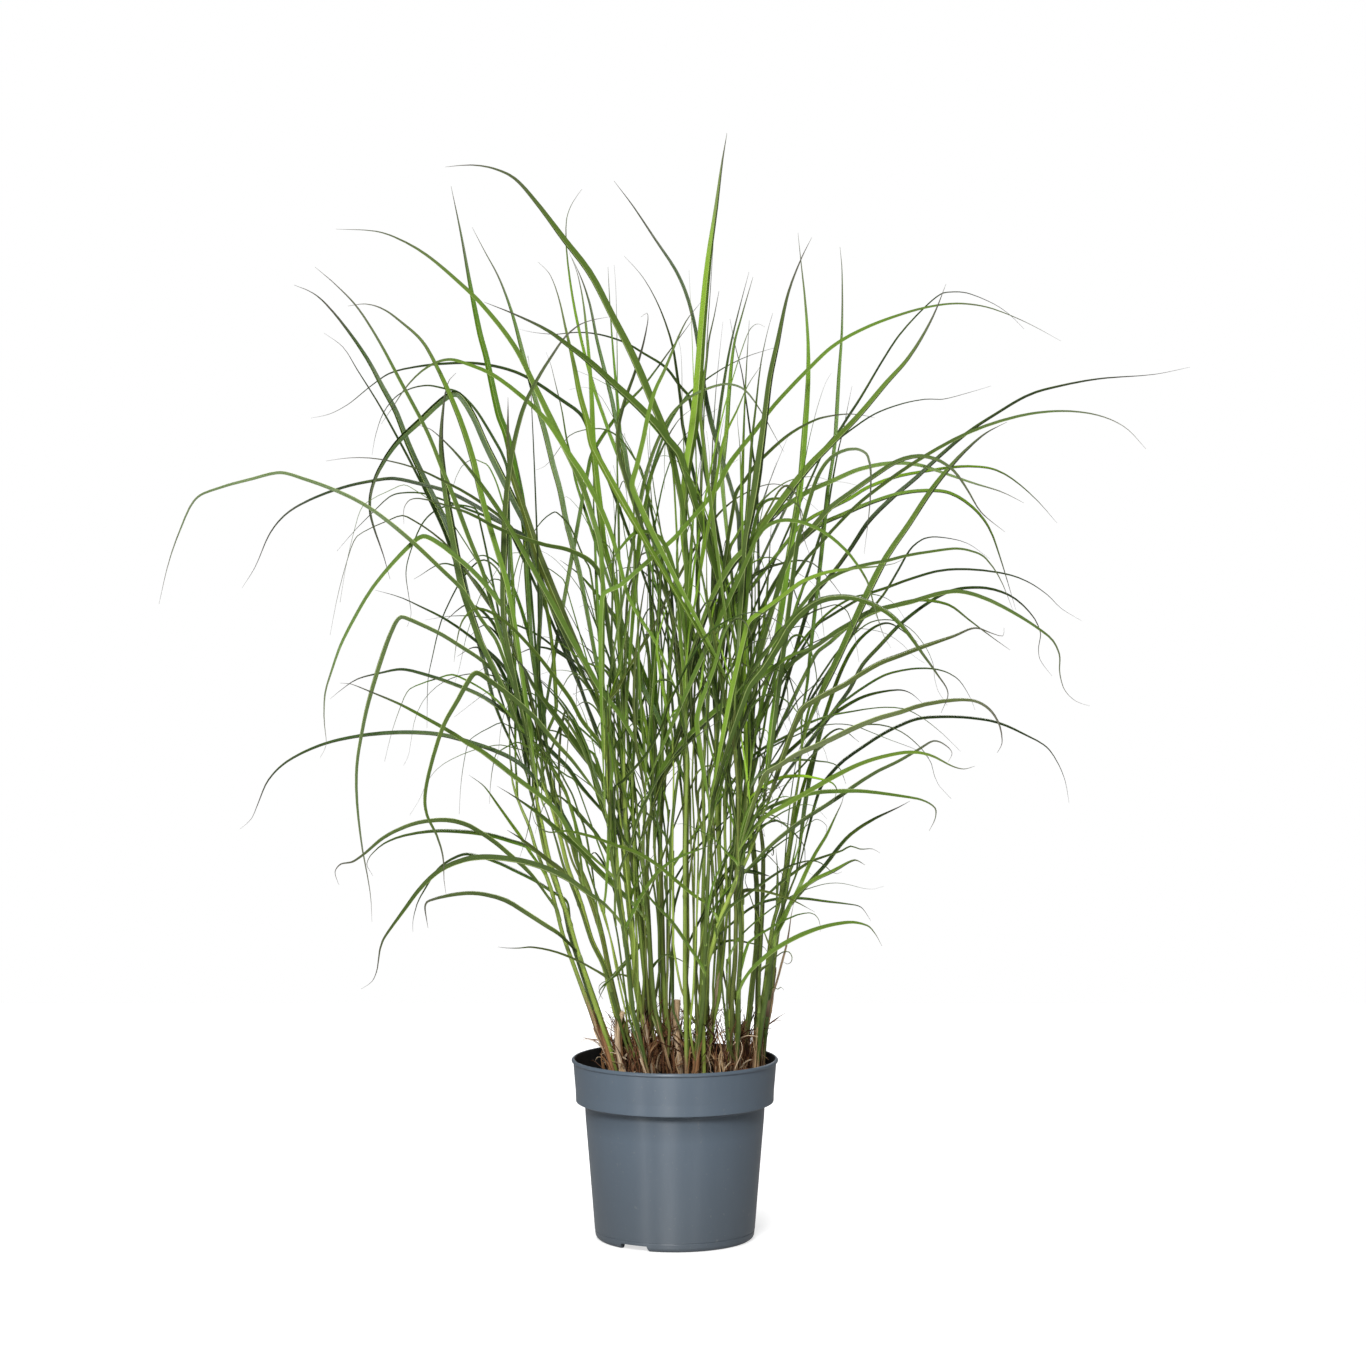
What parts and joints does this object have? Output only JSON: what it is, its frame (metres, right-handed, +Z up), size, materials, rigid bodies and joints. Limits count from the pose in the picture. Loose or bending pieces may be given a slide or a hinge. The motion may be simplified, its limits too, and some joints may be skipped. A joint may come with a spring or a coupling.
{
  "type": "potted ornamental grass clump",
  "caption": "Tall clump of narrow arching grass blades on upright green culms, growing from dark peat in a round slate-grey nursery pot with a wide collar.",
  "frame": {"origin": "middle of the flat hub on the pot's underside, level with the foot ring that the pot stands on", "axes": "+Z up along the pot's axis, the pictured front faces -Y, +X to the viewer's right"},
  "size_m": [0.9494, 0.6415, 1.0061],
  "materials": {
    "pot_plastic": "satin moulded plastic",
    "peat": "rough, crumbly",
    "grass_green": "satin leaf",
    "straw": "dry, matte"
  },
  "bodies": {
    "root": {"pot": "pot_plastic", "soil": "peat", "tiller_01": "grass_green", "tiller_02": "grass_green", "tiller_03": "grass_green", "tiller_04": "grass_green", "tiller_05": "grass_green", "tiller_06": "grass_green", "tiller_07": "grass_green", "tiller_08": "grass_green", "tiller_09": "grass_green", "tiller_10": "grass_green", "tiller_11": "grass_green", "tiller_12": "grass_green", "tiller_13": "grass_green", "tiller_14": "grass_green", "tiller_15": "grass_green", "tiller_16": "grass_green", "tiller_17": "grass_green", "tiller_18": "grass_green", "tiller_19": "grass_green", "tiller_20": "grass_green", "tiller_21": "grass_green", "tiller_22": "grass_green", "tiller_23": "grass_green", "tiller_24": "grass_green", "tiller_25": "grass_green", "tiller_26": "grass_green", "tiller_27": "grass_green", "tiller_28": "grass_green", "tiller_29": "grass_green", "tiller_30": "grass_green", "tiller_31": "grass_green", "tiller_32": "grass_green", "tiller_33": "grass_green", "tiller_34": "grass_green", "tiller_35": "grass_green", "tiller_36": "grass_green", "tiller_37": "grass_green", "tiller_38": "grass_green", "straw_stub_1": "straw", "straw_stub_2": "straw", "straw_stub_3": "straw", "straw_stub_4": "straw"}
  },
  "joints": []
}
